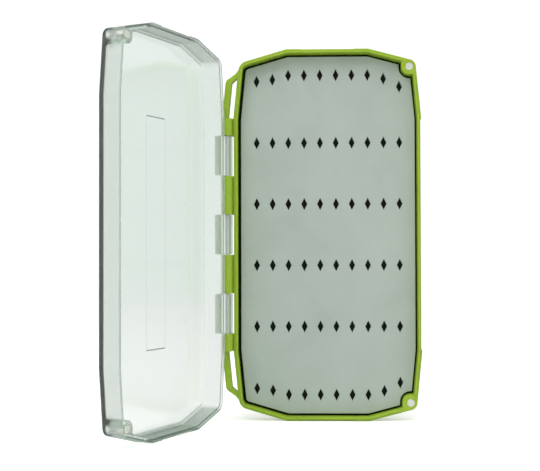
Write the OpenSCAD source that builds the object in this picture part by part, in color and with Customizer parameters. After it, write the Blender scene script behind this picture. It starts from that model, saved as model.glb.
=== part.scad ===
// Pocket fly box: a solid-colour base and a clear lid on a three-knuckle pin hinge, closed by
// four corner magnets, with a slit silicone insert that holds the hooks. It stands on one
// short end with its lid partly open. The origin is the middle of the end it stands on.

/* [Case] */
// Length of the case, from one short end to the other
case_h = 145.2; // [125:0.2:190]
// Width of the case, from the hinge wall to the latch wall
case_w = 73.2; // [62:0.2:110]
// Depth of the base below the line where the halves meet
base_depth = 10; // [9:0.5:18]
// Depth of the lid above that line
lid_depth = 9; // [7:0.5:16]
// Thickness of the side walls
wall = 1.5; // [1.3:0.1:2]
// Thickness of the lid's window
window_t = 1.5; // [1:0.1:2.4]
// Thickness of the base's floor
floor_t = 1.5; // [1:0.1:2.4]

/* [Outline] */
// Straight length of each short end
end_flat = 32; // [26:1:44]
// Straight length of each long side, where the hinge and the latch are
side_flat = 91; // [88:1:100]
// How far a latch corner lies below the short end
corner_drop = 4.9; // [3:0.1:7]
// How far a hinge corner lies below the short end
hinge_corner_drop = 5.4; // [3:0.1:7]
// How far the hinge corners lie inside the hinge wall
hinge_corner_in = 2.15; // [1.5:0.05:4]
// How far the latch corners lie inside the latch wall
latch_corner_in = 2.2; // [1.5:0.1:4]
// Radius of the outline's corners
corner_r = 3; // [2:0.1:4]
// Radius of its hinge corners
hinge_corner_r = 4; // [2:0.1:5]
// Radius of the outer edge round the base's back and the lid's window
edge_r = 1.5; // [0.8:0.1:2]
// Radius of the fillet between the walls and the lid's window, inside
fillet_r = 1.4; // [0.6:0.1:2]

/* [Rim] */
// Gap between the rims of the closed case
rim_gap = 0.1; // [0.06:0.02:0.3]
// Width of the raised lip along the inside of the base's rim
lip_w = 0.7; // [0.5:0.05:0.8]
// Height of that lip above the rim
lip_h = 0.5; // [0.3:0.05:0.9]
// Clearance round the lip in the lid's rebate
lip_clear = 0.12; // [0.08:0.02:0.2]
// Length of the finger bevel on each short end of both rims
bevel_len = 20.7; // [14:0.1:24]
// How far the finger bevel runs in over the rim
bevel_in = 0.55; // [0.3:0.05:0.75]
// How far it runs down the outside of the rim
bevel_depth = 0.8; // [0.4:0.1:2]
// Depth of the shallow thumb recess along the latch side of the base
thumb_in = 0.4; // [0.2:0.05:0.6]
// Length of that thumb recess
thumb_len = 90; // [60:1:90]

/* [Hinge] */
// Radius of the hinge knuckles
knuckle_r = 1.95; // [1.7:0.05:2.2]
// Distance from the hinge axis to the hinge walls
hinge_gap = 2.4; // [2.35:0.05:3]
// Length of each of the lid's three knuckles
lid_knuckle = 15.2; // [12:0.1:16]
// Distance between the middles of the lid's knuckles
knuckle_pitch = 30.8; // [28:0.1:32]
// Gap between neighbouring knuckles
knuckle_gap = 0.25; // [0.15:0.05:0.4]
// Height of the web that joins a knuckle to its wall
web_h = 4.5; // [3:0.1:5.5]
// Radius of the steel hinge pin
pin_r = 0.8; // [0.6:0.05:1]
// Running clearance round the pin in the lid's knuckles
pin_clear = 0.05; // [0.02:0.01:0.1]
// Thickness of the closed end of the lowest base knuckle
pin_stop = 1.5; // [1:0.1:3]
// How far the pin's other end sits inside its bore
pin_inset = 0.5; // [0.2:0.1:1]
// Angle of the lid from closed, as it stands
lid_open = 113.7; // [0:0.1:180]

/* [Lanyard loops] */
// Width of the slot in each loop
slot_w = 1.9; // [1.5:0.05:2.4]
// Distance from the hinge corner of the case to the slot's far end
slot_margin = 5.6; // [4.5:0.1:9]
// How much shorter the slot is along its outer side, where its end slants
slot_slope = 2; // [0:0.1:3]
// Width of material left between the slot and the hinge wall
slot_root = 0.2; // [0.2:0.05:0.5]
// Width of the bar outside the slot
bar_w = 2.6; // [2.4:0.1:3.2]
// Thickness of the bar
bar_t = 3.6; // [2.5:0.1:4.5]
// How far the bar lies below the line where the halves meet
bar_drop = 0.9; // [0.85:0.05:1.4]
// Length of the bar's first stretch, before it turns to follow the sloping wall
bar_bend = 6.6; // [4:0.1:8]
// Distance from the axis to the bar's outer side, where it starts
bar_foot = 1.9; // [1.6:0.05:2.2]
// Radius of the bar's shoulder beyond the slot
shoulder_r = 2.4; // [1:0.1:3]
// Distance from the hinge corner of the case to the neck where the bar meets the wall
neck_margin = 3.9; // [3:0.1:4.3]
// How far that neck lies outside the wall
neck_out = 1.05; // [0.8:0.05:1.4]

/* [Magnets] */
// Radius of the disc magnets
magnet_r = 1.59; // [1.4:0.01:1.8]
// Thickness of the magnets
magnet_t = 3; // [2:0.1:4]
// How far each magnet's face lies below its rim
magnet_inset = 0.1; // [0.05:0.05:0.4]
// Distance from the magnets' middle to the latch corner, across the case
magnet_in = 2.35; // [2.2:0.05:3]
// Distance from the magnets' middle to the latch corner, along the case
magnet_down = 2.2; // [2.1:0.05:3]
// Radius of the corner bosses that hold the magnets
boss_r = 3.1; // [2.6:0.1:3.6]

/* [Insert] */
// Depth of the insert's face below the line where the halves meet
insert_depth = 4; // [3:0.1:5]
// Thickness of the silicone insert
insert_t = 2; // [1.2:0.1:3]
// Gap between the insert and the walls, where the backing shows
insert_gap = 0.9; // [0.6:0.05:1.6]
// How far the insert lies towards the latch from the case's middle
insert_shift = 0.2; // [0:0.05:0.4]
// Gap between the foam backing and the walls
backing_gap = 0.1; // [0.05:0.05:0.3]
// Number of slits in a row
slit_columns = 10; // [6:1:10]
// Distance from each long side of the case to the middles of the outermost slits
slit_margin = 8.52; // [7:0.02:12]
// Number of middle rows
middle_rows = 4; // [2:1:5]
// Distance from each short end of the case to the outermost middle row
row_margin = 36.45; // [26:0.05:50]
// How far the pattern lies towards the latch from the case's middle
slit_shift = 0.3; // [0:0.1:0.6]
// Width of a diamond slit
slit_w = 2.35; // [1:0.05:3]
// Length of a diamond slit
slit_len = 4.8; // [3:0.1:6]
// Distance from the case's short end to the end rows, at the middle columns
end_row_in = 9.7; // [8:0.1:14]

/* [Window frame] */
// Width of the thin frame line on the lid's window
frame_w = 12.8; // [8:0.1:20]
// Length of the frame
frame_len = 83.6; // [60:0.1:100]
// How far the frame lies towards the latch from the case's middle
frame_shift = 1.3; // [-4:0.1:6]
// Width of the frame's engraved line
frame_line = 0.4; // [0.3:0.05:0.8]
// Depth of that line
frame_cut = 0.2; // [0.1:0.05:0.4]

/* [Hidden] */

$fn = 48;
arc_step = 12;        // degrees of turn per flat of a rounded outline
edge_step = 22.5;     // degrees per level of a rounded edge
min_r = 0.3;          // smallest corner radius after an inset
boss_join_r = 0.6;    // radius where a boss meets the wall
frame_r = 0.5;        // corner radius of the window's frame line
bar_edge = 0.6;       // bevel round the loop's bar
bar_sink = 1;         // how far that bar runs into the wall
bar_shoulder = 1.1;   // how far its shoulder lies short of the slot's end
neck_r = 2;           // radius of its neck
join_margin = 0.6;    // distance from the hinge corner to the bar's tip in the wall
slot_r = 0.8;         // radius at the slanting end of the slot
slot_tight_r = 0.2;   // radius of the slot's other corners
overlap = 1;          // how far a cut runs past the face it opens
end_row_extra = [2.4, 1.65, 0, 0, 0, 0, 0, 0, 1.5, 4.75];  // extra inset of each end-row slit

case_r = case_w / 2;
end_v = case_h / 2;
corner_v = end_v - corner_drop;
hinge_corner_v = end_v - hinge_corner_drop;
side_v = side_flat / 2;
hinge_x = -case_r - hinge_gap;
rim_z = rim_gap / 2;
base_floor = floor_t - base_depth;
magnet_x = case_r - latch_corner_in - magnet_in;
magnet_v = corner_v - magnet_down;
lip_out = wall - lip_w;
pin_low = -side_v + pin_stop;
pin_high = side_v - pin_inset;
slot_v = hinge_corner_v - slot_margin;
neck_v = hinge_corner_v - neck_margin;
join_v = hinge_corner_v - join_margin;
bar_start = side_v + bar_bend;
bar_end = slot_v - bar_shoulder;
bar_z = -bar_drop - bar_t;
slit_pitch = (case_w - 2 * slit_margin) / (slit_columns - 1);
row_pitch = (case_h - 2 * row_margin) / (middle_rows - 1);

// ---- outlines: a corner is [x, y, radius], listed anticlockwise ----

function xy(p) = [p[0], p[1]];
function unit(a) = a / norm(a);
function left_of(a) = [-a[1], a[0]];

// The same outline, moved inwards by d; outer corners tighten and inner corners widen.
function inset(path, d) = let(n = len(path)) [
    for (i = [0 : n - 1]) let(
        b = xy(path[i]),
        into = unit(b - xy(path[(i + n - 1) % n])),
        away = unit(xy(path[(i + 1) % n]) - b),
        p = b + d * (left_of(into) + left_of(away)) / (1 + into * away),
        r = path[i][2] + (cross(into, away) > 0 ? -d : d))
    [p[0], p[1], max(r, min_r)]
];

// The points of one rounded corner b between its neighbours a and c.
function corner(a, b, c, r) = let(
    back = unit(a - b),
    on = unit(c - b),
    half = acos(back * on) / 2,
    middle = b + unit(back + on) * r / sin(half),
    first = b + back * r / tan(half) - middle,
    turn = (180 - 2 * half) * (cross(b - a, c - b) > 0 ? 1 : -1),
    steps = max(1, ceil(abs(turn) / arc_step)),
    start = atan2(first[1], first[0]))
    [for (k = [0 : steps]) middle + r * [cos(start + turn * k / steps), sin(start + turn * k / steps)]];

function rounded(path) = let(n = len(path)) [
    for (i = [0 : n - 1])
        each corner(xy(path[(i + n - 1) % n]), xy(path[i]), xy(path[(i + 1) % n]), path[i][2])
];

// Where the edge from a to b has a given x, or a given y.
function at_x(a, b, x) = [x, a[1] + (b[1] - a[1]) * (x - a[0]) / (b[0] - a[0])];
function at_y(a, b, y) = [a[0] + (b[0] - a[0]) * (y - a[1]) / (b[1] - a[1]), y];

// Outline that both halves share, seen from the lid's side with the hinge on the left.
case_path = [
    [-end_flat / 2, -end_v, corner_r],
    [end_flat / 2, -end_v, corner_r],
    [case_r - latch_corner_in, -corner_v, corner_r],
    [case_r, -side_v, corner_r],
    [case_r, side_v, corner_r],
    [case_r - latch_corner_in, corner_v, corner_r],
    [end_flat / 2, end_v, corner_r],
    [-end_flat / 2, end_v, corner_r],
    [hinge_corner_in - case_r, hinge_corner_v, hinge_corner_r],
    [-case_r, side_v, corner_r],
    [-case_r, -side_v, corner_r],
    [hinge_corner_in - case_r, -hinge_corner_v, hinge_corner_r]
];

// Inside of the walls, stepping round the two magnet bosses.
inner = inset(case_path, wall);
boss_x = magnet_x - boss_r;
boss_v = magnet_v - boss_r;
function joint_corner(p) = [p[0], p[1], boss_join_r];
cavity_path = [
    inner[0], inner[1],
    joint_corner(at_x(inner[1], inner[2], boss_x)),
    [boss_x, -boss_v, boss_r],
    joint_corner(at_y(inner[2], inner[3], -boss_v)),
    inner[3], inner[4],
    joint_corner(at_y(inner[4], inner[5], boss_v)),
    [boss_x, boss_v, boss_r],
    joint_corner(at_x(inner[5], inner[6], boss_x)),
    inner[6], inner[7], inner[8], inner[9], inner[10], inner[11]
];

// ---- solids from outlines ----

module prism(path, z0, z1) translate([0, 0, z0]) linear_extrude(z1 - z0) polygon(rounded(path));

// A solid through the outline at several levels, each [z, inset], from the lowest up.
module loft(path, levels) {
    rings = [for (level = levels) rounded(inset(path, level[1]))];
    n = len(rings[0]);
    top = (len(levels) - 1) * n;
    polyhedron(
        points = [for (j = [0 : len(levels) - 1]) for (p = rings[j]) [p[0], p[1], levels[j][0]]],
        faces = concat(
            [[for (i = [0 : n - 1]) i]],
            [[for (i = [n - 1 : -1 : 0]) top + i]],
            [for (j = [0 : n : top - n]) for (i = [0 : n - 1]) let(k = (i + 1) % n)
                each [[j + i, j + n + i, j + n + k], [j + i, j + n + k, j + k]]]));
}

// Levels of a rounded edge of radius r, from the face at z upwards.
function edge_levels(z, r) = [
    for (a = [90 : -edge_step : 0]) [z + r * (1 - sin(a)), r * (1 - cos(a))]
];

// ---- details shared by the halves; the lid's are mirrored in z ----

// One knuckle of the base, from y0 to y1, and the web that joins it to the wall below the rim.
module knuckle(y0, y1) {
    foot = [hinge_gap + wall / 2, -web_h];
    touch = atan2(foot[1], foot[0]) - acos(knuckle_r / norm(foot));
    translate([hinge_x, y1, 0]) rotate([90, 0, 0]) linear_extrude(y1 - y0) {
        circle(knuckle_r);
        polygon([[0, -rim_z], [0, 0], knuckle_r * [cos(touch), sin(touch)], foot, [foot[0], -rim_z]]);
    }
}

module pin_bore(y0, y1, r) translate([hinge_x, y1, 0]) rotate([90, 0, 0]) cylinder(r = r, h = y1 - y0);

// Finger bevels cut into the rim's outer edge at both short ends.
module finger_bevels() for (end = [-1, 1])
    translate([-bevel_len / 2, 0, 0]) rotate([90, 0, 90]) linear_extrude(bevel_len)
        polygon([[end * (end_v - bevel_in), -rim_z], [end * (end_v - bevel_in), overlap],
                 [end * (end_v + overlap), overlap], [end * (end_v + overlap), -bevel_depth],
                 [end * end_v, -bevel_depth]]);

module magnet_pockets() for (end = [-1, 1])
    translate([magnet_x, end * magnet_v, -rim_z - magnet_inset - magnet_t])
        cylinder(r = magnet_r, h = magnet_t + overlap);

// Region of the two bosses, where the lip and its rebate stop.
module boss_zone(z0, z1, clear) for (end = [-1, 1])
    translate([boss_x - clear, end > 0 ? boss_v - clear : -end_v, z0])
        cube([case_r - boss_x + clear, end_v - boss_v + clear, z1 - z0]);

// ---- the base ----

module lip() difference() {
    prism(inset(case_path, lip_out), -rim_z - overlap, lip_h - rim_z);
    prism(inset(case_path, wall), -2 * overlap, lip_h + overlap);
    boss_zone(-2 * overlap, lip_h + overlap, lip_clear);
}

// Lanyard loop beyond one end of the hinge: a bevelled bar with a slot behind it.
function wall_x(v) = hinge_gap + hinge_corner_in * (v - side_v) / (hinge_corner_v - side_v);
function bar_x(v) = wall_x(v) - slot_root - slot_w - bar_w;
bar_path = [
    [wall_x(side_v) + bar_sink, side_v - overlap, min_r],
    [wall_x(join_v) + bar_sink, join_v, min_r],
    [wall_x(neck_v) - neck_out, neck_v, neck_r],
    [bar_x(bar_end), bar_end, shoulder_r],
    [bar_x(bar_start), bar_start, corner_r],
    [-bar_foot, side_v - overlap, min_r]
];
slot_path = [
    [wall_x(side_v) - slot_root, side_v, slot_tight_r],
    [wall_x(slot_v) - slot_root, slot_v, slot_tight_r],
    [wall_x(slot_v - slot_slope) - slot_root - slot_w, slot_v - slot_slope, slot_r],
    [wall_x(side_v) - slot_root - slot_w, side_v, slot_tight_r]
];
module lanyard_loop() translate([hinge_x, 0, 0]) difference() {
    loft(bar_path, [[bar_z, bar_edge], [bar_z + bar_edge, 0],
                     [-bar_drop - bar_edge, 0], [-bar_drop, bar_edge]]);
    prism(slot_path, bar_z - overlap, overlap - bar_drop);
}

module base_knuckles() {
    first = lid_knuckle / 2 + knuckle_gap;
    for (end = [-1, 1]) {
        middle = end * knuckle_pitch / 2;
        half = knuckle_pitch / 2 - first;
        knuckle(middle - half, middle + half);
        outer = knuckle_pitch + first;
        knuckle(end > 0 ? outer : -side_v, end > 0 ? side_v : -outer);
    }
}

module base_shell() color("#9fbb42") stand() difference() {
    union() {
        difference() {
            loft(case_path, concat(edge_levels(-base_depth, edge_r), [[-rim_z, 0]]));
            prism(cavity_path, base_floor, overlap);
        }
        lip();
        base_knuckles();
        for (end = [0, 1]) mirror([0, end, 0]) lanyard_loop();
    }
    pin_bore(pin_low, side_v + overlap, pin_r);
    magnet_pockets();
    finger_bevels();
    translate([case_r - thumb_in, -thumb_len / 2, -base_depth - overlap])
        cube([overlap, thumb_len, base_depth + 2 * overlap]);
}

// ---- the lid, in its closed place ----

module lid_knuckles() for (i = [-1 : 1])
    knuckle(i * knuckle_pitch - lid_knuckle / 2, i * knuckle_pitch + lid_knuckle / 2);

// Rebate inside the lid's rim that takes the base's lip.
module rebate() {
    low = -rim_z - lip_h - lip_clear;
    difference() {
        prism(inset(case_path, lip_out - lip_clear), low, overlap);
        boss_zone(low - overlap, 2 * overlap, 0);
    }
}

module frame_outline(extra) {
    half = [frame_w / 2 + extra, frame_len / 2 + extra];
    corners = [[-1, -1], [1, -1], [1, 1], [-1, 1]];
    prism([for (c = corners) [c[0] * half[0], c[1] * half[1], frame_r]], -overlap, frame_cut);
}

module window_frame() translate([frame_shift, 0, -lid_depth]) difference() {
    frame_outline(frame_line / 2);
    translate([0, 0, -overlap]) scale([1, 1, 4]) frame_outline(-frame_line / 2);
}

// The lid is drawn upside down, window below, so that both halves share the same details.
module lid_form() difference() {
    union() {
        difference() {
            loft(case_path, concat(edge_levels(-lid_depth, edge_r), [[-rim_z, 0]]));
            loft(cavity_path, concat(edge_levels(window_t - lid_depth, fillet_r), [[overlap, 0]]));
        }
        lid_knuckles();
    }
    pin_bore(-side_v, side_v, pin_r + pin_clear);
    magnet_pockets();
    finger_bevels();
    rebate();
    window_frame();
}

module lid_shell() color("#dde7df", 0.5) stand() swing() mirror([0, 0, 1]) lid_form();

// ---- insert, backing, pin and magnets ----

function row_v(i) = (i - (middle_rows - 1) / 2) * row_pitch;
function column_x(i) = slit_shift + (i - (slit_columns - 1) / 2) * slit_pitch;

module slit(x, v) translate([x, v])
    polygon([[-slit_w / 2, 0], [0, -slit_len / 2], [slit_w / 2, 0], [0, slit_len / 2]]);

module slits() for (i = [0 : slit_columns - 1]) {
    for (row = [0 : middle_rows - 1]) slit(column_x(i), row_v(row));
    for (end = [-1, 1]) slit(column_x(i), end * (end_v - end_row_in - end_row_extra[i]));
}

module silicone_insert() color("#abb5ad") stand()
    translate([0, 0, -insert_depth - insert_t]) linear_extrude(insert_t) difference() {
        translate([insert_shift, 0]) polygon(rounded(inset(cavity_path, insert_gap)));
        slits();
    }

module foam_backing() color("#1c1f1a") stand()
    prism(inset(cavity_path, backing_gap), base_floor, -insert_depth - insert_t);

module hinge_pin() color("#b9bcbb") stand() pin_bore(pin_low, pin_high, pin_r);

module magnet(end) color("#c8cdbd")
    translate([magnet_x, end * magnet_v, -rim_z - magnet_inset - magnet_t])
        cylinder(r = magnet_r, h = magnet_t);

module base_magnet_top() stand() magnet(1);
module base_magnet_bottom() stand() magnet(-1);
module lid_magnet_top() stand() swing() mirror([0, 0, 1]) magnet(1);
module lid_magnet_bottom() stand() swing() mirror([0, 0, 1]) magnet(-1);

// ---- placing ----

// Turns the lid about the hinge axis from its closed place to its open one.
module swing() translate([hinge_x, 0, 0]) rotate([0, -lid_open, 0]) translate([-hinge_x, 0, 0]) children();

// Stands the case on its short end, base behind and facing -Y.
module stand() translate([0, -base_depth / 2, case_h / 2]) rotate([90, 0, 0]) children();

base_shell();
lid_shell();
silicone_insert();
foam_backing();
hinge_pin();
base_magnet_top();
base_magnet_bottom();
lid_magnet_top();
lid_magnet_bottom();
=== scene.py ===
"""Fly box, standing on its short end with the clear lid open: looks, light and camera.

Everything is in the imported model's frame, in metres. Shapes are worked out in millimetres in the
case's own frame, lying closed on its back: x from the hinge to the latch, y along the case and z
towards the lid, with the parting plane at z = 0. place() then stands them up.
"""
import math

import bmesh
import bpy
from mathutils import Matrix, Vector


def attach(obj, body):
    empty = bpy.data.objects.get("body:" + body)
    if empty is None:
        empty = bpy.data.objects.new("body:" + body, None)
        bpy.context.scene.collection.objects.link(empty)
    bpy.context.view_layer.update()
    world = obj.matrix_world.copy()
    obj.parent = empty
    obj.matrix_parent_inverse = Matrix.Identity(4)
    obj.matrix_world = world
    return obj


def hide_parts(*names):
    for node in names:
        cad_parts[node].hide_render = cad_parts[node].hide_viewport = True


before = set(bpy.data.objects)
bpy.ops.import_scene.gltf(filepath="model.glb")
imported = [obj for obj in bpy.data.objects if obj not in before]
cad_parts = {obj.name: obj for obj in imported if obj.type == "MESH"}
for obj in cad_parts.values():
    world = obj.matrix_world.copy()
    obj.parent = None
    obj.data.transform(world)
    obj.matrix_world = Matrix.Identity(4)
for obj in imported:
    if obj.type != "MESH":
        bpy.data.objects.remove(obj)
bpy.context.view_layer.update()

# ---- sizes in mm, as in the part's source ----

CASE_H, CASE_W = 145.2, 73.2
BASE_DEPTH, LID_DEPTH = 10.0, 9.0
WALL, WINDOW_T, FLOOR_T = 1.5, 1.5, 1.5
END_FLAT, SIDE_FLAT = 32.0, 91.0
CORNER_DROP, HINGE_CORNER_DROP = 4.9, 5.4
LATCH_CORNER_IN, HINGE_CORNER_IN = 2.2, 2.15
CORNER_R, HINGE_CORNER_R = 3.0, 4.0
EDGE_R, FILLET_R = 1.5, 1.4
RIM_GAP, LIP_W, LIP_H, LIP_CLEAR = 0.1, 0.7, 0.5, 0.12
BEVEL_LEN, BEVEL_IN, BEVEL_DEPTH = 20.7, 0.55, 0.8
THUMB_IN, THUMB_LEN = 0.4, 90.0
KNUCKLE_R, HINGE_GAP, LID_KNUCKLE = 1.95, 2.4, 15.2
KNUCKLE_PITCH, KNUCKLE_GAP, WEB_H = 30.8, 0.25, 4.5
PIN_R, PIN_CLEAR, PIN_STOP, PIN_INSET = 0.8, 0.05, 1.5, 0.5
LID_OPEN = 113.7
SLOT_W, SLOT_MARGIN, SLOT_ROOT, SLOT_SLOPE = 1.9, 5.6, 0.2, 2.0
BAR_W, BAR_T, BAR_DROP, BAR_EDGE, BAR_SINK = 2.6, 3.6, 0.9, 0.6, 1.0
BAR_BEND, BAR_FOOT, BAR_SHOULDER, SHOULDER_R = 6.6, 1.9, 1.1, 2.4
NECK_MARGIN, NECK_OUT, NECK_R, JOIN_MARGIN = 3.9, 1.05, 2.0, 0.6
MAGNET_R, MAGNET_T, MAGNET_INSET = 1.59, 3.0, 0.1
MAGNET_IN, MAGNET_DOWN, BOSS_R, BOSS_JOIN_R = 2.35, 2.2, 3.1, 0.6
INSERT_DEPTH, INSERT_T, INSERT_GAP, INSERT_SHIFT, BACKING_GAP = 4.0, 2.0, 0.9, 0.2, 0.1
COLUMNS, SLIT_MARGIN, SLIT_SHIFT = 10, 8.52, 0.3
MIDDLE_ROWS, ROW_MARGIN = 4, 36.45
SLIT_W, SLIT_LEN, END_ROW_IN = 2.35, 4.8, 9.7
END_ROW_EXTRA = (2.4, 1.65, 0, 0, 0, 0, 0, 0, 1.5, 4.75)
FRAME_W, FRAME_LEN, FRAME_SHIFT, FRAME_LINE, FRAME_CUT = 12.8, 83.6, 1.3, 0.4, 0.2

CASE_R, END_V, SIDE_V = CASE_W / 2, CASE_H / 2, SIDE_FLAT / 2
CORNER_V, HINGE_CORNER_V = END_V - CORNER_DROP, END_V - HINGE_CORNER_DROP
HINGE_X = -CASE_R - HINGE_GAP
RIM_Z = RIM_GAP / 2
BASE_FLOOR = FLOOR_T - BASE_DEPTH
INSERT_BACK = -INSERT_DEPTH - INSERT_T
LIP_OUT, LIP_TOP = WALL - LIP_W, LIP_H - RIM_Z
MAGNET_X = CASE_R - LATCH_CORNER_IN - MAGNET_IN
MAGNET_V = CORNER_V - MAGNET_DOWN
MAGNET_TOP = -RIM_Z - MAGNET_INSET
SLIT_PITCH = (CASE_W - 2 * SLIT_MARGIN) / (COLUMNS - 1)
ROW_PITCH = (CASE_H - 2 * ROW_MARGIN) / (MIDDLE_ROWS - 1)

# ---- sizes in mm that only the looks have: the small radii that a mould leaves ----

MIN_R = 0.3
RIM_R, LID_RIM_R, LIP_R = 0.22, 0.15, 0.14
KNUCKLE_END_R, KNUCKLE_GROOVE = 0.15, 0.7
SLOT_R, SLOT_HOOK_R, SLOT_MOUTH = 0.2, 0.8, 0.15
POCKET_MOUTH = 0.12
CORE_IN = 0.15  # how much narrower the bore below a lid magnet is than its pocket
FRAME_R, FRAME_TIP = 0.5, 0.03
SLIT_EASE, INSERT_EDGE = 0.1, 0.2
PIN_END_R, PIN_SLACK = 0.25, 0.005
MAGNET_EDGE_R, MAGNET_SLACK = 0.18, 0.015

# ---- how finely round forms are drawn ----

ARC_STEP = 5.0  # degrees between an outline's points on a corner
TINY, SMALL, MEDIUM, LARGE = 3, 4, 6, 8  # steps of a rounded edge, by how much it shows
KNUCKLE_STEPS, ROUND_SIDES = 40, 48
SAME_POINT = 1e-5
PAST = 1.0  # how far a cutting form reaches past the face that it cuts
SKIM = 0.001  # how far a widening mouth runs on past the face, so that no sliver is left
SHARP_EDGE = 32  # degrees between faces from which an edge isn't shaded smooth

# ---- outlines: a corner is (x, y, radius), listed anticlockwise ----


def inset(path, d):
    """The outline moved inwards by d; outer corners tighten and inner corners widen."""
    out = []
    for i, (_x, _y, r) in enumerate(path):
        before, at, after = (Vector(path[k % len(path)][:2]) for k in (i - 1, i, i + 1))
        into, away = (at - before).normalized(), (after - at).normalized()
        left = Vector((-into.y - away.y, into.x + away.x))
        p = at + left * d / (1 + into.dot(away))
        turn = into.x * away.y - into.y * away.x
        out.append((p.x, p.y, max(r + (-d if turn > 0 else d), MIN_R)))
    return out


def rounded(path):
    """The outline's points with every corner turned into an arc."""
    points = []
    for i, (_x, _y, r) in enumerate(path):
        a, b, c = (Vector(path[k % len(path)][:2]) for k in (i - 1, i, i + 1))
        back, on = (a - b).normalized(), (c - b).normalized()
        half = math.acos(max(-1, min(1, back.dot(on)))) / 2
        middle = b + (back + on).normalized() * r / math.sin(half)
        first = b + back * r / math.tan(half) - middle
        cross = (b.x - a.x) * (c.y - b.y) - (b.y - a.y) * (c.x - b.x)
        turn = math.copysign(math.pi - 2 * half, cross)
        steps = max(2, math.ceil(abs(math.degrees(turn)) / ARC_STEP - 0.01))
        start = math.atan2(first.y, first.x)
        for k in range(steps + 1):
            t = start + turn * k / steps
            points.append((middle.x + r * math.cos(t), middle.y + r * math.sin(t)))
    return points


def offset(points, d):
    """A polygon of many points moved inwards by d."""
    return [(x, y) for x, y, _r in inset([(x, y, MIN_R) for x, y in points], d)]


def circle(x, y, r):
    """The points of a whole circle."""
    turns = [2 * math.pi * k / ROUND_SIDES for k in range(ROUND_SIDES)]
    return [(x + r * math.cos(t), y + r * math.sin(t)) for t in turns]


def quarter(z, r, up=1, steps=SMALL):
    """Levels (z, inset) of a rounded edge: up=1 from the face at z upwards, up=-1 up to it."""
    turns = [math.pi / 2 * k / steps for k in range(steps + 1)]
    if up > 0:
        turns.reverse()
    return [(z + up * r * (1 - math.sin(t)), r * (1 - math.cos(t))) for t in turns]


def along_x(a, b, x):
    """The point with this x on the line through a and b."""
    return x, a[1] + (b[1] - a[1]) * (x - a[0]) / (b[0] - a[0])


def along_y(a, b, y):
    """The point with this y on the line through a and b."""
    return a[0] + (b[0] - a[0]) * (y - a[1]) / (b[1] - a[1]), y


HALF_END, LATCH_IN, HINGE_IN = END_FLAT / 2, CASE_R - LATCH_CORNER_IN, HINGE_CORNER_IN - CASE_R
CASE_PATH = [
    (x, y, HINGE_CORNER_R if x == HINGE_IN else CORNER_R)
    for x, y in (
        (-HALF_END, -END_V),
        (HALF_END, -END_V),
        (LATCH_IN, -CORNER_V),
        (CASE_R, -SIDE_V),
        (CASE_R, SIDE_V),
        (LATCH_IN, CORNER_V),
        (HALF_END, END_V),
        (-HALF_END, END_V),
        (HINGE_IN, HINGE_CORNER_V),
        (-CASE_R, SIDE_V),
        (-CASE_R, -SIDE_V),
        (HINGE_IN, -HINGE_CORNER_V),
    )
]
INNER = inset(CASE_PATH, WALL)
BOSS_X, BOSS_V = MAGNET_X - BOSS_R, MAGNET_V - BOSS_R
CAVITY_PATH = [
    INNER[0],
    INNER[1],
    (*along_x(INNER[1], INNER[2], BOSS_X), BOSS_JOIN_R),
    (BOSS_X, -BOSS_V, BOSS_R),
    (*along_y(INNER[2], INNER[3], -BOSS_V), BOSS_JOIN_R),
    INNER[3],
    INNER[4],
    (*along_y(INNER[4], INNER[5], BOSS_V), BOSS_JOIN_R),
    (BOSS_X, BOSS_V, BOSS_R),
    (*along_x(INNER[5], INNER[6], BOSS_X), BOSS_JOIN_R),
    *INNER[6:],
]

# ---- solids ----

UPRIGHT = Matrix(((1, 0, 0), (0, 0, 1), (0, 1, 0))).to_4x4()  # outline (p, q) at height y -> (p, y, q)
ACROSS = Matrix(((0, 0, 1), (1, 0, 0), (0, 1, 0))).to_4x4()  # outline (p, q) at height x -> (x, p, q)


def make_object(name, bm):
    """The mesh built in bm as an object of the scene."""
    mesh = bpy.data.meshes.new(name)
    bm.to_mesh(mesh)
    bm.free()
    ob = bpy.data.objects.new(name, mesh)
    bpy.context.scene.collection.objects.link(ob)
    return ob


def solid(rings):
    """A closed mesh through rings of equally many points, each (points, height), lowest first."""
    bm = bmesh.new()
    rows = [[bm.verts.new((x, y, z)) for x, y in points] for points, z in rings]
    n = len(rows[0])
    for low, high in zip(rows, rows[1:]):
        for i in range(n):
            k = (i + 1) % n
            bm.faces.new((low[i], low[k], high[k], high[i]))
    bm.faces.new(rows[0][::-1])
    bm.faces.new(rows[-1])
    bmesh.ops.remove_doubles(bm, verts=bm.verts, dist=SAME_POINT)
    bmesh.ops.recalc_face_normals(bm, faces=bm.faces)
    return make_object("form", bm)


def loft(path, levels):
    """The outline carried upwards through levels (z, inset)."""
    return solid([(rounded(inset(path, d)), z) for z, d in levels])


def prism(path, z0, z1):
    return loft(path, [(z0, 0), (z1, 0)])


def turned(ob, matrix):
    """Moves a form, keeping its faces outwards where the matrix mirrors it."""
    ob.data.transform(matrix)
    if matrix.determinant() < 0:
        ob.data.flip_normals()
    return ob


def run_along_y(points, levels):
    """A polygon in (x, z) carried along y through levels (y, inset)."""
    return turned(solid([(offset(points, d) if d else points, y) for y, d in levels]), UPRIGHT)


def disc(x, y, r, levels):
    """A round form along z through levels (z, inset)."""
    return solid([(circle(x, y, r - d), z) for z, d in levels])


def round_bar(x, z, r, levels):
    """A round bar along y through levels (y, inset)."""
    return turned(disc(x, z, r, levels), UPRIGHT)


def block(x0, x1, y0, y1, z0, z1):
    return solid([([(x0, y0), (x1, y0), (x1, y1), (x0, y1)], z) for z in (z0, z1)])


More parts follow.
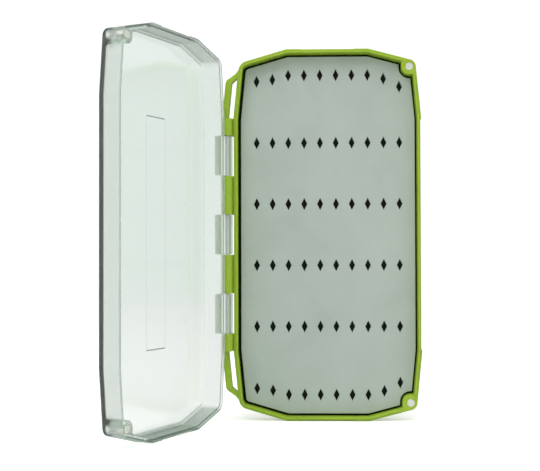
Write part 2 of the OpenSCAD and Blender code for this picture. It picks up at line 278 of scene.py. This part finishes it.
def combine(ob, tools, how):
    """Joins forms to ob or cuts them out of it, one after another, and uses them up."""
    for tool in tools:
        step = ob.modifiers.new("step", "BOOLEAN")
        step.operation, step.solver, step.object = how, "MANIFOLD", tool
        bpy.context.view_layer.update()
        made = bpy.data.meshes.new_from_object(ob.evaluated_get(bpy.context.evaluated_depsgraph_get()))
        ob.modifiers.clear()
        old, ob.data = ob.data, made
        bpy.data.meshes.remove(old)
        bpy.data.objects.remove(tool)
    return ob


# ---- places: the case stands on its short end, and the lid turns about the hinge ----

MM = 0.001
STAND = (
    Matrix.Diagonal((MM, MM, MM, 1))
    @ Matrix.Translation((0, -BASE_DEPTH / 2, CASE_H / 2))
    @ Matrix.Rotation(math.radians(90), 4, "X")
)
LID = (
    STAND
    @ Matrix.Translation((HINGE_X, 0, 0))
    @ Matrix.Rotation(math.radians(-LID_OPEN), 4, "Y")
    @ Matrix.Translation((-HINGE_X, 0, 0))
    @ Matrix.Diagonal((1, 1, -1, 1))
)


def place(ob, name, matrix, body, material, node):
    """Finishes a form as a piece of the object: in place, shaded, on its body, standing for its node."""
    turned(ob, matrix)
    ob.name = ob.data.name = name
    ob.data.shade_smooth()
    ob.data.set_sharp_from_angle(angle=math.radians(SHARP_EDGE))
    normals = ob.modifiers.new("normals", "WEIGHTED_NORMAL")
    normals.keep_sharp = True
    ob.data.materials.clear()
    ob.data.materials.append(material)
    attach(ob, body)
    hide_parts(node)


# ---- materials ----

# marks of each texture in a metre
CLOUDS, SMUDGES, MELT_FLOW = 55.0, 38.0, 60.0
SPARK, FINE_SKIN, FOAM_CELLS, DRAWN_LINES, ORANGE_PEEL = 4200.0, 2600.0, 3500.0, 9000.0, 1500.0


def linear(code):
    """An sRGB hex colour as the linear colour that nodes take."""
    parts = [int(code[i : i + 2], 16) / 255 for i in (1, 3, 5)]
    return (*[p / 12.92 if p <= 0.04045 else ((p + 0.055) / 1.055) ** 2.4 for p in parts], 1.0)


def grey(v):
    """A linear grey, for a light or for a number that a ramp gives."""
    return (v, v, v, 1.0)


def blank(name):
    material = bpy.data.materials.new(name)
    material.use_nodes = True
    material.node_tree.nodes.clear()
    return material


def add(owner, kind, links=None, **settings):
    """Adds a node. Settings name its properties, its inputs or a ramp's stops (position, colour).
    Links feed inputs from a socket, or from a node's first output."""
    node = owner.node_tree.nodes.new(kind)
    for key, value in settings.items():
        if key == "stops":
            steps = node.color_ramp.elements
            while len(steps) < len(value):
                steps.new(0.5)
            for step, (position, colour) in zip(steps, value):
                step.position, step.color = position, colour
        elif hasattr(node, key):
            setattr(node, key, value)
        else:
            node.inputs[key.replace("_", " ")].default_value = value
    for key, source in (links or {}).items():
        socket = source.outputs[0] if isinstance(source, bpy.types.Node) else source
        owner.node_tree.links.new(socket, node.inputs[key])
    return node


def moulded_abs():
    """Injection-moulded ABS: a satin skin with fine spark texture, and colour that clouds a little
    as the melt flowed. The texture is drawn coarser than the real 0.05 mm, so that it shows."""
    m = blank("moulded_abs_lime")
    spot = add(m, "ShaderNodeTexCoord").outputs["Object"]
    clouds = add(m, "ShaderNodeTexNoise", {"Vector": spot}, Scale=CLOUDS, Detail=3.0, Roughness=0.55)
    grain = add(m, "ShaderNodeTexNoise", {"Vector": spot}, Scale=SPARK, Detail=2.0, Roughness=0.6)
    colour = add(
        m, "ShaderNodeValToRGB", {"Fac": clouds}, stops=[(0.3, linear("#95b32d")), (0.7, linear("#9cbb33"))]
    )
    gloss = add(m, "ShaderNodeValToRGB", {"Fac": clouds}, stops=[(0.35, grey(0.34)), (0.7, grey(0.42))])
    bump = add(m, "ShaderNodeBump", {"Height": grain}, Strength=0.18, Distance=0.04 * MM)
    skin = add(
        m,
        "ShaderNodeBsdfPrincipled",
        {"Base Color": colour, "Roughness": gloss, "Normal": bump},
        IOR=1.54,
        Specular_IOR_Level=0.3,
        Subsurface_Weight=0.08,
        Subsurface_Radius=(1.2, 1.6, 0.4),
        Subsurface_Scale=MM,
    )
    add(m, "ShaderNodeOutputMaterial", {"Surface": skin})
    return m


def clear_polycarbonate():
    """Clear polycarbonate with a smoke-green body tint: a polished window, pale to look through,
    walls with the satin skin of a mould's draft faces, which turn grey edge-on, and satin hinge
    barrels that blur the pin. Light that passes on to other pieces takes on a little of the tint."""
    m = blank("clear_polycarbonate")
    spot = add(m, "ShaderNodeTexCoord")
    flow = add(m, "ShaderNodeTexNoise", {"Vector": spot.outputs["Object"]}, Scale=MELT_FLOW, Detail=2.0)
    bump = add(m, "ShaderNodeBump", {"Height": flow}, Strength=0.02, Distance=0.4 * MM)
    facing = add(m, "ShaderNodeVectorMath", {0: spot.outputs["Normal"]}, operation="DOT_PRODUCT")
    facing.inputs[1].default_value = (LID.to_3x3() @ Vector((0, 0, 1))).normalized()
    flat = add(m, "ShaderNodeMath", {0: facing.outputs["Value"]}, operation="ABSOLUTE")
    satin = add(
        m, "ShaderNodeMapRange", {"Value": flat}, From_Min=0.9, From_Max=0.998, To_Min=0.4, To_Max=0.09
    )
    level = add(m, "ShaderNodeVectorMath", {0: spot.outputs["Object"]}, operation="MULTIPLY")
    level.inputs[1].default_value = (1, 1, 0)
    from_pin = add(m, "ShaderNodeVectorMath", {0: level}, operation="DISTANCE")
    from_pin.inputs[1].default_value = (STAND @ Vector((HINGE_X, 0, 0))) * Vector((1, 1, 0))
    barrel = add(
        m,
        "ShaderNodeMapRange",
        {"Value": from_pin.outputs["Value"]},
        From_Min=2.5 * MM,
        From_Max=4.0 * MM,
        To_Min=0.45,
        To_Max=0.0,
    )
    gloss = add(m, "ShaderNodeMath", {0: satin, 1: barrel}, operation="MAXIMUM")
    clear = add(
        m,
        "ShaderNodeBsdfPrincipled",
        {"Normal": bump, "Roughness": gloss},
        Base_Color=(1, 1, 1, 1),
        IOR=1.585,
        Transmission_Weight=1.0,
    )
    path = add(m, "ShaderNodeLightPath")
    lit = add(m, "ShaderNodeBsdfTransparent", Color=linear("#dfe8e0"))
    mix = add(m, "ShaderNodeMixShader", {0: path.outputs["Is Shadow Ray"], 1: clear, 2: lit})
    tint = add(m, "ShaderNodeVolumeAbsorption", Color=linear("#c0dac7"), Density=100.0)
    add(m, "ShaderNodeOutputMaterial", {"Surface": mix, "Volume": tint})
    return m


def moulded_silicone():
    """Matt moulded silicone: soft sheen, handled smudges, and a very fine skin that is drawn
    coarser than the real 0.1 mm, so that it shows."""
    m = blank("moulded_silicone_grey")
    spot = add(m, "ShaderNodeTexCoord").outputs["Object"]
    smudge = add(
        m, "ShaderNodeTexNoise", {"Vector": spot}, Scale=SMUDGES, Detail=5.0, Roughness=0.6, Distortion=0.4
    )
    fine = add(m, "ShaderNodeTexNoise", {"Vector": spot}, Scale=FINE_SKIN, Detail=2.0)
    shades = [(0.3, linear("#aab5ac")), (0.52, linear("#b0bbb2")), (0.75, linear("#b5bfb7"))]
    colour = add(m, "ShaderNodeValToRGB", {"Fac": smudge}, stops=shades)
    gloss = add(m, "ShaderNodeValToRGB", {"Fac": smudge}, stops=[(0.3, grey(0.62)), (0.7, grey(0.74))])
    bump = add(m, "ShaderNodeBump", {"Height": fine}, Strength=0.25, Distance=0.05 * MM)
    skin = add(
        m,
        "ShaderNodeBsdfPrincipled",
        {"Base Color": colour, "Roughness": gloss, "Normal": bump},
        IOR=1.41,
        Sheen_Weight=0.08,
        Sheen_Roughness=0.5,
    )
    add(m, "ShaderNodeOutputMaterial", {"Surface": skin})
    return m


def cell_foam():
    """Black closed-cell EVA foam: dull, with fine open pores on its cut face."""
    m = blank("eva_foam_black")
    spot = add(m, "ShaderNodeTexCoord").outputs["Object"]
    cells = add(m, "ShaderNodeTexVoronoi", {"Vector": spot}, Scale=FOAM_CELLS)
    colour = add(
        m, "ShaderNodeValToRGB", {"Fac": cells}, stops=[(0.15, linear("#0b0f07")), (0.6, linear("#191f12"))]
    )
    bump = add(m, "ShaderNodeBump", {"Height": cells}, Strength=0.6, Distance=0.1 * MM)
    cut = add(
        m, "ShaderNodeBsdfPrincipled", {"Base Color": colour, "Normal": bump}, Roughness=0.9, IOR=1.45
    )
    add(m, "ShaderNodeOutputMaterial", {"Surface": cut})
    return m


def drawn_steel():
    """Drawn stainless wire: grey metal with scratches that run along the pin, drawn coarser
    than the real 0.02 mm, so that they show."""
    m = blank("drawn_stainless_steel")
    spot = add(m, "ShaderNodeTexCoord").outputs["Object"]
    stretch = add(m, "ShaderNodeMapping", {"Vector": spot}, Scale=(1.0, 1.0, 0.02))
    lines = add(m, "ShaderNodeTexNoise", {"Vector": stretch}, Scale=DRAWN_LINES, Detail=3.0)
    gloss = add(m, "ShaderNodeValToRGB", {"Fac": lines}, stops=[(0.3, grey(0.28)), (0.7, grey(0.46))])
    bump = add(m, "ShaderNodeBump", {"Height": lines}, Strength=0.3, Distance=0.02 * MM)
    metal = add(
        m,
        "ShaderNodeBsdfPrincipled",
        {"Roughness": gloss, "Normal": bump},
        Base_Color=linear("#cfd2d0"),
        Metallic=1.0,
    )
    add(m, "ShaderNodeOutputMaterial", {"Surface": metal})
    return m


def nickel_plate():
    """Nickel plate on the magnets: bright, faintly warm, with a fine orange peel."""
    m = blank("nickel_plate")
    spot = add(m, "ShaderNodeTexCoord").outputs["Object"]
    peel = add(m, "ShaderNodeTexNoise", {"Vector": spot}, Scale=ORANGE_PEEL, Detail=2.0)
    gloss = add(m, "ShaderNodeValToRGB", {"Fac": peel}, stops=[(0.3, grey(0.24)), (0.7, grey(0.36))])
    bump = add(m, "ShaderNodeBump", {"Height": peel}, Strength=0.15, Distance=0.05 * MM)
    metal = add(
        m,
        "ShaderNodeBsdfPrincipled",
        {"Roughness": gloss, "Normal": bump},
        Base_Color=linear("#e0e3d6"),
        Metallic=1.0,
    )
    add(m, "ShaderNodeOutputMaterial", {"Surface": metal})
    return m


# ---- details that both halves share ----


def knuckle(y0, y1, groove=RIM_Z):
    """A hinge knuckle and its web, with the slight radius of the mould at both ends."""
    foot = (HINGE_GAP + WALL / 2, -WEB_H)
    touch = math.atan2(foot[1], foot[0]) - math.acos(KNUCKLE_R / math.hypot(*foot))
    first = -math.asin(groove / KNUCKLE_R)
    last = touch + 2 * math.pi
    arc = [first + (last - first) * k / KNUCKLE_STEPS for k in range(KNUCKLE_STEPS + 1)]
    profile = [(KNUCKLE_R * math.cos(t), KNUCKLE_R * math.sin(t)) for t in arc]
    profile += [foot, (foot[0], -groove)]
    profile = [(HINGE_X + p, q) for p, q in profile]
    r = KNUCKLE_END_R
    bend = 0.3 * r  # the rounded end's middle point, as for a circle in two steps
    ends = [(y0, r), (y0 + bend, bend), (y0 + r, 0), (y1 - r, 0), (y1 - bend, bend), (y1, r)]
    return run_along_y(profile, ends)


def pin_bore(y0, y1, r):
    return round_bar(HINGE_X, 0, r, [(y0, 0), (y1, 0)])


def finger_bevels():
    """Wedges that cut the rim's outer edge at both short ends."""
    forms = []
    for end in (-1, 1):
        wedge = [
            (end * (END_V - BEVEL_IN), -RIM_Z),
            (end * (END_V - BEVEL_IN), PAST),
            (end * (END_V + PAST), PAST),
            (end * (END_V + PAST), -BEVEL_DEPTH),
            (end * END_V, -BEVEL_DEPTH),
        ]
        rings = [(wedge[::end], x) for x in (-BEVEL_LEN / 2, BEVEL_LEN / 2)]
        forms.append(turned(solid(rings), ACROSS))
    return forms


def magnet_pockets(core_end=None):
    """Pockets for the magnets, with a small lead-in. Where core_end is given, a bore goes on below
    the magnet to that level."""
    bottom = MAGNET_TOP - MAGNET_T
    levels = [
        (bottom, 0),
        (-RIM_Z - POCKET_MOUTH, 0),
        (SKIM - RIM_Z, -POCKET_MOUTH),
        (PAST, -POCKET_MOUTH),
    ]
    if core_end:
        levels = [(core_end, CORE_IN), (bottom, CORE_IN)] + levels
    return [disc(MAGNET_X, end * MAGNET_V, MAGNET_R, levels) for end in (-1, 1)]


def boss_zones(z0, z1, clear):
    """Blocks over both latch corners, as far as the magnet bosses reach."""
    spans = [sorted((end * (BOSS_V - clear), end * END_V)) for end in (-1, 1)]
    return [block(BOSS_X - clear, CASE_R + PAST, *span, z0, z1) for span in spans]


# ---- the base ----


def wall_x(v):
    """How far the slanting hinge side lies from the hinge's axis, at v from the case's middle."""
    return HINGE_GAP + HINGE_CORNER_IN * (v - SIDE_V) / (HINGE_CORNER_V - SIDE_V)


def lanyard_loop(end):
    """The bar of a loop and its slot, as two forms."""
    slot_v, neck_v, join_v = (HINGE_CORNER_V - m for m in (SLOT_MARGIN, NECK_MARGIN, JOIN_MARGIN))
    bar_end, bar_start, bar_z = slot_v - BAR_SHOULDER, SIDE_V + BAR_BEND, -BAR_DROP - BAR_T
    hook_v = slot_v - SLOT_SLOPE

    def bar_x(v):
        return wall_x(v) - SLOT_ROOT - SLOT_W - BAR_W

    bar = [
        (wall_x(SIDE_V) + BAR_SINK, SIDE_V - PAST, MIN_R),
        (wall_x(join_v) + BAR_SINK, join_v, MIN_R),
        (wall_x(neck_v) - NECK_OUT, neck_v, NECK_R),
        (bar_x(bar_end), bar_end, SHOULDER_R),
        (bar_x(bar_start), bar_start, CORNER_R),
        (-BAR_FOOT, SIDE_V - PAST, MIN_R),
    ]
    slot = [
        (wall_x(SIDE_V) - SLOT_ROOT, SIDE_V, SLOT_R),
        (wall_x(slot_v) - SLOT_ROOT, slot_v, SLOT_R),
        (wall_x(hook_v) - SLOT_ROOT - SLOT_W, hook_v, SLOT_HOOK_R),
        (wall_x(SIDE_V) - SLOT_ROOT - SLOT_W, SIDE_V, SLOT_R),
    ]
    side = Matrix.Translation((HINGE_X, 0, 0)) @ Matrix.Diagonal((1, end, 1, 1))
    edge = quarter(bar_z, BAR_EDGE) + quarter(-BAR_DROP, BAR_EDGE, -1)
    mouths = [
        (bar_z - PAST, -SLOT_MOUTH),
        (bar_z, -SLOT_MOUTH),
        (bar_z + SLOT_MOUTH, 0),
        (-BAR_DROP - SLOT_MOUTH, 0),
        (-BAR_DROP, -SLOT_MOUTH),
        (PAST, -SLOT_MOUTH),
    ]
    return turned(loft(bar, edge), side), turned(loft(slot, mouths), side)


def base_shell():
    """The tray: a shell with a lip, on it knuckles and lanyard loops, and in it pockets and bevels."""
    lip_edge = quarter(LIP_TOP, LIP_R, -1, TINY)
    body = loft(
        CASE_PATH,
        quarter(-BASE_DEPTH, EDGE_R, 1, MEDIUM)
        + quarter(-RIM_Z, RIM_R, -1)
        + [(-RIM_Z, LIP_OUT)]
        + [(z, LIP_OUT + d) for z, d in lip_edge],
    )
    cavity = loft(CAVITY_PATH, [(BASE_FLOOR, 0)] + [(z, -d) for z, d in lip_edge] + [(PAST, -LIP_R)])
    combine(body, boss_zones(-RIM_Z, PAST, LIP_CLEAR), "DIFFERENCE")
    combine(body, [cavity], "DIFFERENCE")
    lid_end = LID_KNUCKLE / 2 + KNUCKLE_GAP
    half = KNUCKLE_PITCH / 2 - lid_end
    outer = KNUCKLE_PITCH + lid_end
    spans = [(-SIDE_V, -outer), (outer, SIDE_V)]
    spans += [(middle - half, middle + half) for middle in (-KNUCKLE_PITCH / 2, KNUCKLE_PITCH / 2)]
    bars, slots = zip(*(lanyard_loop(end) for end in (-1, 1)))
    combine(body, [*bars, *(knuckle(*span, KNUCKLE_GROOVE) for span in spans)], "UNION")
    thumb = THUMB_LEN / 2
    cuts = [*slots, pin_bore(-SIDE_V + PIN_STOP, SIDE_V + PAST, PIN_R), *magnet_pockets(), *finger_bevels()]
    cuts.append(block(CASE_R - THUMB_IN, CASE_R + PAST, -thumb, thumb, -BASE_DEPTH - PAST, PAST))
    return combine(body, cuts, "DIFFERENCE")


# ---- the lid, drawn window downwards and mirrored into its place ----


def window_frame():
    """The fine engraved line of an empty frame on the window."""
    w, h, half = FRAME_W / 2, FRAME_LEN / 2, FRAME_LINE / 2
    outline = [(-w, -h, FRAME_R), (w, -h, FRAME_R), (w, h, FRAME_R), (-w, h, FRAME_R)]
    ring = loft(outline, [(-PAST, -half), (0, -half), (FRAME_CUT, -FRAME_TIP)])
    middle = loft(outline, [(-2 * PAST, half), (0, half), (FRAME_CUT, FRAME_TIP), (PAST, FRAME_TIP)])
    combine(ring, [middle], "DIFFERENCE")
    return turned(ring, Matrix.Translation((FRAME_SHIFT, 0, -LID_DEPTH)))


def lid_shell():
    """The clear cover: a shell with knuckles, and in it a rebate for the lip, pockets and bevels."""
    body = loft(CASE_PATH, quarter(-LID_DEPTH, EDGE_R, 1, LARGE) + quarter(-RIM_Z, LID_RIM_R, -1, TINY))
    cavity = loft(CAVITY_PATH, quarter(WINDOW_T - LID_DEPTH, FILLET_R, 1, LARGE) + [(PAST, 0)])
    combine(body, [cavity], "DIFFERENCE")
    rebate_z = -RIM_Z - LIP_H - LIP_CLEAR
    rebate = prism(inset(CASE_PATH, LIP_OUT - LIP_CLEAR), rebate_z, PAST)
    combine(rebate, boss_zones(rebate_z - PAST, 2 * PAST, 0), "DIFFERENCE")
    half = LID_KNUCKLE / 2
    middles = (-KNUCKLE_PITCH, 0, KNUCKLE_PITCH)
    combine(body, [knuckle(middle - half, middle + half) for middle in middles], "UNION")
    cuts = [
        pin_bore(-SIDE_V, SIDE_V, PIN_R + PIN_CLEAR),
        *magnet_pockets(WINDOW_T + CORE_IN - LID_DEPTH),
        *finger_bevels(),
        rebate,
        window_frame(),
    ]
    return combine(body, cuts, "DIFFERENCE")


# ---- insert, backing, pin and magnets ----


def slit(x, y):
    """A diamond slit whose upper edges are eased, as silicone leaves a punch or mould."""
    w, h, top = SLIT_W / 2, SLIT_LEN / 2, -INSERT_DEPTH
    levels = [(INSERT_BACK - PAST, 0), (top - SLIT_EASE, 0), (top, SLIT_EASE), (top + PAST, SLIT_EASE)]
    rings = []
    for z, grow in levels:
        a, b = w + grow, h + grow * h / w
        rings.append(([(x - a, y), (x, y - b), (x + a, y), (x, y + b)], z))
    return solid(rings)


def silicone_insert():
    """The sheet with its level middle rows of slits and its bowed end rows."""
    body = loft(
        inset(CAVITY_PATH, INSERT_GAP),
        [(INSERT_BACK, 0)] + quarter(-INSERT_DEPTH, INSERT_EDGE, -1),
    )
    turned(body, Matrix.Translation((INSERT_SHIFT, 0, 0)))
    middle_rows = [(row - (MIDDLE_ROWS - 1) / 2) * ROW_PITCH for row in range(MIDDLE_ROWS)]
    cuts = []
    for i in range(COLUMNS):
        x = SLIT_SHIFT + (i - (COLUMNS - 1) / 2) * SLIT_PITCH
        end_rows = [end * (END_V - END_ROW_IN - END_ROW_EXTRA[i]) for end in (-1, 1)]
        cuts += [slit(x, y) for y in middle_rows + end_rows]
    return combine(body, cuts, "DIFFERENCE")


def foam_backing():
    return prism(inset(CAVITY_PATH, BACKING_GAP), BASE_FLOOR, INSERT_BACK)


def hinge_pin():
    levels = quarter(-SIDE_V + PIN_STOP, PIN_END_R) + quarter(SIDE_V - PIN_INSET, PIN_END_R, -1)
    return round_bar(HINGE_X, 0, PIN_R - PIN_SLACK, levels)


def magnet(end):
    levels = quarter(MAGNET_TOP - MAGNET_T, MAGNET_EDGE_R) + quarter(MAGNET_TOP, MAGNET_EDGE_R, -1)
    return disc(MAGNET_X, end * MAGNET_V, MAGNET_R - MAGNET_SLACK, levels)


def fly_box():
    """All pieces, each in the place of its node in the frame."""
    lime, clear, nickel = moulded_abs(), clear_polycarbonate(), nickel_plate()
    silicone, foam, steel = moulded_silicone(), cell_foam(), drawn_steel()
    place(base_shell(), "moulded_base", STAND, "base", lime, "base_shell")
    place(lid_shell(), "moulded_lid", LID, "lid", clear, "lid_shell")
    place(silicone_insert(), "slit_insert", STAND, "base", silicone, "silicone_insert")
    place(foam_backing(), "foam_sheet", STAND, "base", foam, "foam_backing")
    place(hinge_pin(), "steel_pin", STAND, "base", steel, "hinge_pin")
    for side, end in (("top", 1), ("bottom", -1)):
        for half, matrix in (("base", STAND), ("lid", LID)):
            node = f"{half}_magnet_{side}"
            place(magnet(end), f"nickel_{node}", matrix, half, nickel, node)


# ---- floor, backdrop and light, in metres ----

FLOOR_Z = -0.0001  # a little under the case, so that air stays below the clear lid's edge
FLOOR_FRONT, FLOOR_BACK, SWEEP_SIDE = -1.6, 1.2, 1.1
SWEEP_R, SWEEP_STEPS, SWEEP_TOP = 0.5, 12, 0.95


def studio_paper():
    """Pale paper that keeps the object's shadow. To the camera it turns white further back. Seen
    through the clear lid it is bright, faintly green at the back, and dim close under the lid."""
    m = blank("studio_paper")
    depth = add(m, "ShaderNodeSeparateXYZ", {"Vector": add(m, "ShaderNodeTexCoord").outputs["Object"]})
    path = add(m, "ShaderNodeLightPath")
    paper = add(m, "ShaderNodeBsdfPrincipled", Base_Color=grey(0.93), Roughness=0.9, Specular_IOR_Level=0.1)
    far = add(
        m,
        "ShaderNodeMapRange",
        {"Value": depth.outputs["Y"]},
        From_Min=0.7,
        From_Max=1.35,
        To_Min=0.0,
        To_Max=1.0,
    )
    clearance = add(
        m,
        "ShaderNodeMapRange",
        {"Value": path.outputs["Ray Length"]},
        From_Min=2.0 * MM,
        From_Max=20.0 * MM,
        To_Min=0.0,
        To_Max=0.65,
    )
    lid_glow = add(m, "ShaderNodeEmission", Color=grey(1.0), Strength=1.15)
    far_glow = add(m, "ShaderNodeEmission", Color=linear("#f1f8f4"), Strength=1.0)
    under_lid = add(m, "ShaderNodeMixShader", {0: clearance, 1: paper, 2: lid_glow})
    through_lid = add(m, "ShaderNodeMixShader", {0: far, 1: under_lid, 2: far_glow})
    near_glow = add(m, "ShaderNodeEmission", Color=grey(1.0), Strength=0.45)
    near = add(m, "ShaderNodeAddShader", {0: paper, 1: near_glow})
    white = add(m, "ShaderNodeEmission", Color=grey(1.0), Strength=1.1)
    direct = add(m, "ShaderNodeMixShader", {0: far, 1: near, 2: white})
    bounced = add(
        m, "ShaderNodeMixShader", {0: path.outputs["Is Transmission Ray"], 1: paper, 2: through_lid}
    )
    seen = add(m, "ShaderNodeMixShader", {0: path.outputs["Is Camera Ray"], 1: bounced, 2: direct})
    add(m, "ShaderNodeOutputMaterial", {"Surface": seen})
    return m


def sweep():
    """A pale studio sweep: a floor that curves up into a backdrop well behind the object."""
    turns = [math.pi / 2 * k / SWEEP_STEPS for k in range(SWEEP_STEPS + 1)]
    profile = [(FLOOR_FRONT, FLOOR_Z), (FLOOR_BACK, FLOOR_Z)]
    profile += [(FLOOR_BACK + SWEEP_R * math.sin(t), SWEEP_R - SWEEP_R * math.cos(t)) for t in turns[1:]]
    profile.append((FLOOR_BACK + SWEEP_R, SWEEP_TOP))
    bm = bmesh.new()
    rows = [[bm.verts.new((x, y, z)) for x in (-SWEEP_SIDE, SWEEP_SIDE)] for y, z in profile]
    for low, high in zip(rows, rows[1:]):
        bm.faces.new((low[0], low[1], high[1], high[0]))
    ob = make_object("sweep", bm)
    ob.data.shade_smooth()
    ob.data.materials.append(studio_paper())


# Softboxes, each aimed at a point on the upright line through the origin: place, height of the aim,
# width and height of the box, and watts.
SOFTBOXES = {
    "key_softbox": ((-0.5, -0.85, 1.05), 0.07, 0.8, 0.6, 5.7),
    "top_softbox": ((0.0, -0.4, 1.3), 0.05, 1.2, 0.6, 5.2),
    "side_softbox": ((-1.0, -0.65, 0.4), 0.07, 0.7, 0.9, 1.4),
    "fill_softbox": ((0.9, -0.5, 0.9), 0.07, 0.7, 0.7, 1.8),
}


def softboxes():
    for name, (at, aim_z, width, height, power) in SOFTBOXES.items():
        data = bpy.data.lights.new(name, "AREA")
        data.shape, data.size, data.size_y, data.energy = "RECTANGLE", width, height, power
        ob = bpy.data.objects.new(name, data)
        bpy.context.scene.collection.objects.link(ob)
        ob.location = at
        ob.rotation_euler = (Vector((0, 0, aim_z)) - Vector(at)).to_track_quat("-Z", "Y").to_euler()


def room():
    """The air round the object: white to the camera, an even grey as light, and for gloss and for
    the clear lid a bright horizon under a darker ceiling."""
    world = bpy.data.worlds.new("studio")
    world.use_nodes = True
    world.node_tree.nodes.clear()
    up = add(world, "ShaderNodeSeparateXYZ", {0: add(world, "ShaderNodeTexCoord").outputs["Generated"]})
    height = up.outputs["Z"]
    path = add(world, "ShaderNodeLightPath")
    walls = add(world, "ShaderNodeValToRGB", {"Fac": height}, stops=[(0.3, grey(0.85)), (0.58, grey(0.3))])
    horizon = add(
        world,
        "ShaderNodeValToRGB",
        {"Fac": height},
        stops=[(0.02, grey(1.0)), (0.3, grey(0.85)), (0.58, grey(0.3))],
    )
    air = add(world, "ShaderNodeBackground", Color=grey(0.9), Strength=0.52)
    mirrored = add(world, "ShaderNodeBackground", {"Color": walls}, Strength=1.0)
    through_lid = add(world, "ShaderNodeBackground", {"Color": horizon}, Strength=1.0)
    white = add(world, "ShaderNodeBackground", Color=grey(1.0), Strength=1.0)
    seen = air
    for ray, shade in (("Glossy", mirrored), ("Transmission", through_lid), ("Camera", white)):
        seen = add(world, "ShaderNodeMixShader", {0: path.outputs[f"Is {ray} Ray"], 1: seen, 2: shade})
    add(world, "ShaderNodeOutputWorld", {"Surface": seen})
    bpy.context.scene.world = world


# ---- camera: fitted to the photograph ----

CAMERA_AT = (-0.009117, -0.423556, 0.064434)
CAMERA_YAW, CAMERA_PITCH, CAMERA_ROLL = (math.radians(a) for a in (-1.828, 1.066, -0.143))
SENSOR_WIDTH, FOCAL_LENGTH = 36.0, 71.534


def camera():
    data = bpy.data.cameras.new("photo_camera")
    data.sensor_fit, data.sensor_width, data.lens = "HORIZONTAL", SENSOR_WIDTH, FOCAL_LENGTH
    data.clip_start, data.clip_end = 0.01, 20
    ob = bpy.data.objects.new("photo_camera", data)
    bpy.context.scene.collection.objects.link(ob)
    ahead, rise = math.cos(CAMERA_PITCH), math.sin(CAMERA_PITCH)
    forward = Vector((math.sin(CAMERA_YAW) * ahead, math.cos(CAMERA_YAW) * ahead, rise))
    level = Vector((math.cos(CAMERA_YAW), -math.sin(CAMERA_YAW), 0))
    right = math.cos(CAMERA_ROLL) * level + math.sin(CAMERA_ROLL) * level.cross(forward)
    turn = Matrix((right, right.cross(forward), -forward)).transposed().to_4x4()
    ob.matrix_world = Matrix.Translation(CAMERA_AT) @ turn
    bpy.context.scene.camera = ob


fly_box()
sweep()
softboxes()
room()
camera()
bpy.context.scene.view_settings.view_transform = "Standard"
